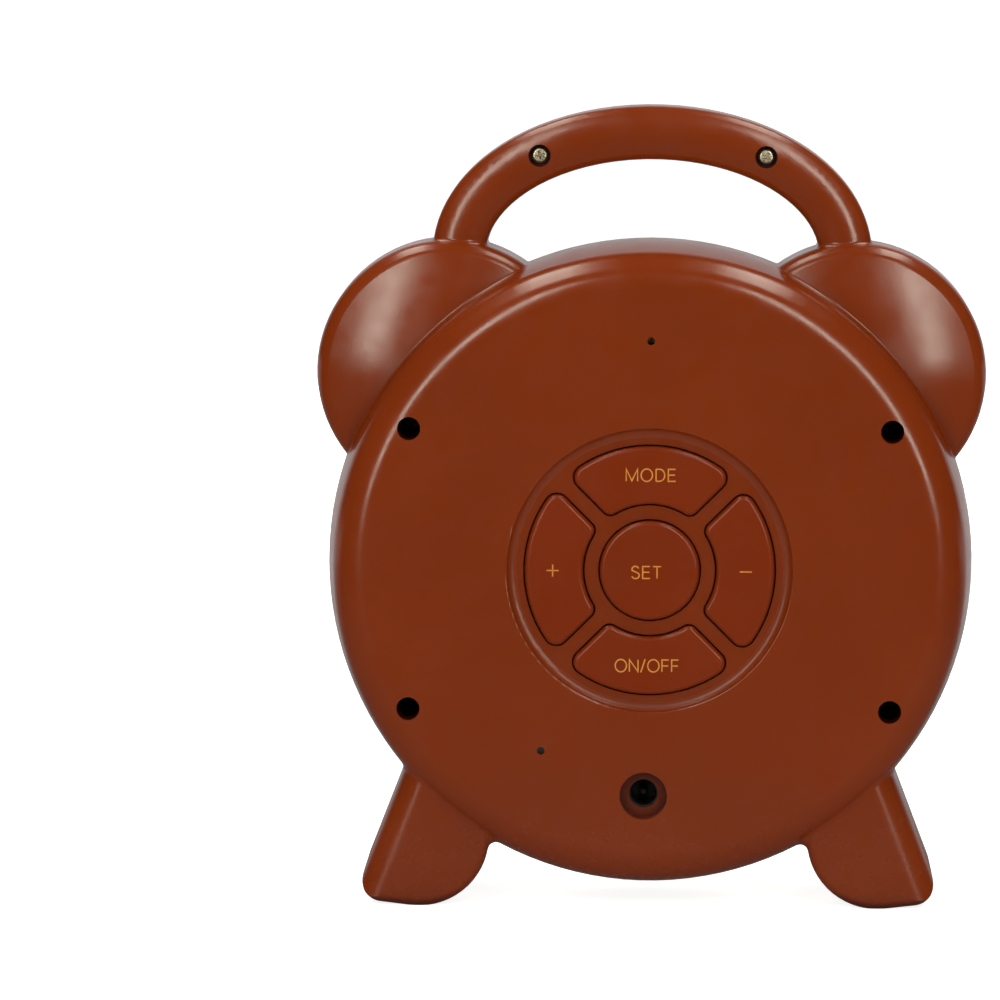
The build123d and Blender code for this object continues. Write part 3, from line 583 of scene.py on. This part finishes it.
# seven-bar digits on the display glass, with a colon after the second; dots are shares of their height
display = {"figures": "1200", "digitHeight": 0.0145, "digitWidth": 0.0078, "bar": 0.00135, "gap": 0.0003,
           "lean": 0.08, "pitch": 0.0112, "colonAfter": 2, "colonGap": 0.006, "dot": 0.0008,
           "dots": (0.3, 0.7), "dotCorners": 18, "proud": 0.00003, "offGlass": 0.00001}
barsOf = {"0": "abcdef", "1": "bc", "2": "abged"}
barEnds = {"a": ((0, 1), (1, 1)), "b": ((1, 0.5), (1, 1)), "c": ((1, 0), (1, 0.5)), "d": ((0, 0), (1, 0)),
           "e": ((0, 0), (0, 0.5)), "f": ((0, 0.5), (0, 1)), "g": ((0, 0.5), (1, 0.5))}


# six-sided outline of one of the seven bars of a digit
def barOutline(letter):
    size = Vector((display["digitWidth"], display["digitHeight"]))
    start, end = [Vector((x * size.x, y * size.y)) for x, y in barEnds[letter]]
    along = (end - start).normalized()
    side = Vector((-along.y, along.x)) * display["bar"] / 2
    tip, shoulder = along * display["gap"], along * (display["gap"] + display["bar"] / 2)
    return [start + tip, start + shoulder + side, end - shoulder + side, end - tip,
            end - shoulder - side, start + shoulder - side]


def slabFrom(mesh, outline, thickness):
    low = [mesh.verts.new((x, y, 0)) for x, y in outline]
    high = [mesh.verts.new((x, y, thickness)) for x, y in outline]
    mesh.faces.new(high)
    mesh.faces.new(list(reversed(low)))
    for i in range(len(outline)):
        j = (i + 1) % len(outline)
        mesh.faces.new((low[i], low[j], high[j], high[i]))


def makeDigits(look):
    built = bmesh.new()
    middle = look["digitHeight"] / 2
    total = look["pitch"] * len(look["figures"]) + look["colonGap"]
    left = -total / 2 + (look["pitch"] - look["digitWidth"]) / 2
    for index, figure in enumerate(look["figures"]):
        start = left + index * look["pitch"] + (look["colonGap"] if index >= look["colonAfter"] else 0)
        for letter in barsOf[figure]:
            leaned = [(start + p.x + look["lean"] * p.y, p.y - middle) for p in barOutline(letter)]
            slabFrom(built, leaned, look["proud"])
    corners = look["dotCorners"]
    for share in look["dots"]:
        y = look["digitHeight"] * share
        dot = arcPoints(look["lean"] * y, y - middle, look["dot"], look["dot"],
                        0, 360 - 360 / corners, corners - 1)
        slabFrom(built, dot, look["proud"])
    bmesh.ops.recalc_face_normals(built, faces=built.faces)
    mesh = meshFrom(built, "displayDigits")
    glassLow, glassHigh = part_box("lcd_glass")
    facing = Matrix(((1, 0, 0, 0), (0, 0, -1, 0), (0, 1, 0, 0), (0, 0, 0, 1)))  # towards -Y
    centreZ = (glassLow.z + glassHigh.z) / 2
    mesh.transform(Matrix.Translation((0, glassLow.y - look["offGlass"], centreZ)) @ facing)
    pieceFrom("displayDigits", mesh, "segment_ink", "case")


makeDigits(display)
print("display digits made")


# the floor glows from near to far over glowAcross metres. Reflections find the surroundings pale on the
# -Y side and dark on the +Y side, where the camera is: over floorAcross metres of the floor and skyAcross
# of the sky's direction; underLevel is added on the floor near the clock, fading over underAcross metres
studio = {
    "floorSize": 60.0, "floorCells": 8, "floorColour": (0.7, 0.7, 0.7),
    "nearGlow": 0.85, "farGlow": 0.95, "glowAcross": (0.15, 1.2), "worldLevel": 0.17,
    "paleLevel": 0.6, "darkLevel": 0.02, "floorAcross": (-0.5, -0.05), "skyAcross": (-0.72, -0.5),
    "underLevel": 0.1, "underAcross": (0.2, 0.55),
}
# each lamp stands on both sides: round and up from the middle of the clock, in degrees, its top leaning
# inwards; the front ones only lift the face and stay out of the reflections
lamps = {
    "Softbox": {"from": 180, "aside": 25, "up": 20, "lean": 13, "width": 0.2, "height": 0.96, "power": 5.6,
                "mirrored": True},
    "Toplight": {"from": 180, "aside": 90, "up": 68.5, "lean": 0, "width": 1.1, "height": 0.3, "power": 7.2,
                 "mirrored": True},
    "Facelight": {"from": 0, "aside": -15, "up": 14, "lean": 0, "width": 0.4, "height": 0.9, "power": 5.2,
                  "mirrored": False},
}
lampDistance = 1.3
lampCentre = (0, 0, 0.1)
lampColour = (0.99, 0.955, 0.82)
# looks at the rear; one pixel is pixel metres wide at the target, which stands at targetU, targetV
view = {"distance": 1.548, "azimuth": 180.42, "elevation": 6.3, "target": (0, 0, 0.1004), "pixel": 0.000249,
        "targetU": 650.9, "targetV": 494.8, "roll": 0.392, "imageSize": 1000, "sensor": 36,
        "nearest": 0.05, "farthest": 100}


# azimuth 0 is towards -Y and 180 towards +Y
def directionTo(azimuth, elevation):
    a, e = radians(azimuth), radians(elevation)
    return Vector((sin(a) * cos(e), -cos(a) * cos(e), sin(e)))


# the rays that see the background as it is: the camera's own and those through a clear part
def seeingRays(nodes, links, rays):
    own, through = rays.outputs["Is Camera Ray"], rays.outputs["Is Transmission Ray"]
    return mathNode(nodes, links, "MAXIMUM", own, through)


def makeFloor():
    built = bmesh.new()
    bmesh.ops.create_grid(built, x_segments=studio["floorCells"], y_segments=studio["floorCells"],
                          size=studio["floorSize"] / 2)
    mesh = meshFrom(built, "floor")
    material = bpy.data.materials.new("paleFloor")
    material.use_nodes = True
    nodes, links = material.node_tree.nodes, material.node_tree.links
    nodes.clear()
    surface = nodes.new("ShaderNodeOutputMaterial")
    rays = nodes.new("ShaderNodeLightPath")
    place = nodes.new("ShaderNodeTexCoord").outputs["Object"]
    away = nodes.new("ShaderNodeVectorMath")
    away.operation = "LENGTH"
    links.new(place, away.inputs[0])
    distance = away.outputs["Value"]
    # as it is seen: pale paint, brightened
    paint = nodes.new("ShaderNodeBsdfDiffuse")
    paint.inputs["Color"].default_value = (*studio["floorColour"], 1)
    glow = nodes.new("ShaderNodeEmission")
    level = spread(nodes, links, distance, studio["nearGlow"], studio["farGlow"], studio["glowAcross"])
    seen = mathNode(nodes, links, "MULTIPLY", seeingRays(nodes, links, rays), level)
    links.new(seen, glow.inputs["Strength"])
    total = nodes.new("ShaderNodeAddShader")
    links.new(paint.outputs[0], total.inputs[0])
    links.new(glow.outputs[0], total.inputs[1])
    # as reflections find it
    parts = nodes.new("ShaderNodeSeparateXYZ")
    links.new(place, parts.inputs[0])
    mirrored = nodes.new("ShaderNodeEmission")
    depth = spread(nodes, links, parts.outputs["Y"], studio["paleLevel"], studio["darkLevel"],
                   studio["floorAcross"])
    under = spread(nodes, links, distance, studio["underLevel"], 0, studio["underAcross"])
    links.new(mathNode(nodes, links, "ADD", depth, under), mirrored.inputs["Strength"])
    chosen = nodes.new("ShaderNodeMixShader")
    links.new(rays.outputs["Is Glossy Ray"], chosen.inputs[0])
    links.new(total.outputs[0], chosen.inputs[1])
    links.new(mirrored.outputs[0], chosen.inputs[2])
    links.new(chosen.outputs[0], surface.inputs["Surface"])
    mesh.materials.append(material)
    floor = bpy.data.objects.new("floor", mesh)
    scene.collection.objects.link(floor)


# white where it is seen, graded in reflections, and an even low level as light
def makeWorld():
    world = bpy.data.worlds.new("studio")
    world.use_nodes = True
    nodes, links = world.node_tree.nodes, world.node_tree.links
    nodes.clear()
    surface = nodes.new("ShaderNodeOutputWorld")
    sky = nodes.new("ShaderNodeBackground")
    rays = nodes.new("ShaderNodeLightPath")
    parts = nodes.new("ShaderNodeSeparateXYZ")
    links.new(nodes.new("ShaderNodeTexCoord").outputs["Generated"], parts.inputs[0])
    mirrored = spread(nodes, links, parts.outputs["Y"], studio["paleLevel"], studio["darkLevel"],
                      studio["skyAcross"])
    unseen = mixNumbers(nodes, links, rays.outputs["Is Glossy Ray"], studio["worldLevel"], mirrored)
    strength = mixNumbers(nodes, links, seeingRays(nodes, links, rays), unseen, 1.0)
    links.new(strength, sky.inputs["Strength"])
    links.new(sky.outputs[0], surface.inputs["Surface"])
    sky.inputs["Color"].default_value = (1, 1, 1, 1)
    scene.world = world


def makeLamps():
    for name, look in lamps.items():
        for side, sideName in ((1, "left"), (-1, "right")):
            lamp = bpy.data.lights.new(sideName + name, "AREA")
            lamp.shape = "RECTANGLE"
            lamp.size = look["width"]
            lamp.size_y = look["height"]
            lamp.energy = look["power"]
            lamp.color = lampColour
            holder = bpy.data.objects.new(sideName + name, lamp)
            out = directionTo(look["from"] - side * look["aside"], look["up"])
            holder.location = Vector(lampCentre) + out * lampDistance
            holder.rotation_mode = "QUATERNION"
            leaning = Quaternion(out, radians(-side * look["lean"]))
            holder.rotation_quaternion = leaning @ out.to_track_quat("Z", "Y")
            holder.visible_glossy = look["mirrored"]
            scene.collection.objects.link(holder)


def makeCamera():
    lens = bpy.data.cameras.new("camera")
    size = view["imageSize"]
    focalPixels = view["distance"] / view["pixel"]
    lens.sensor_width = view["sensor"]
    lens.lens = focalPixels / size * lens.sensor_width
    lens.shift_x = -(view["targetU"] - size / 2) / size
    lens.shift_y = (view["targetV"] - size / 2) / size
    lens.clip_start = view["nearest"]
    lens.clip_end = view["farthest"]
    camera = bpy.data.objects.new("camera", lens)
    out = directionTo(view["azimuth"], view["elevation"])
    camera.location = Vector(view["target"]) + out * view["distance"]
    camera.rotation_mode = "QUATERNION"
    # turning the camera left about its own axis rolls the picture to the right
    roll = Quaternion(out, radians(view["roll"]))
    camera.rotation_quaternion = roll @ out.to_track_quat("Z", "Y")
    scene.collection.objects.link(camera)
    scene.camera = camera


makeFloor()
makeWorld()
makeLamps()
makeCamera()
scene.view_settings.view_transform = "Standard"
print("studio ready")
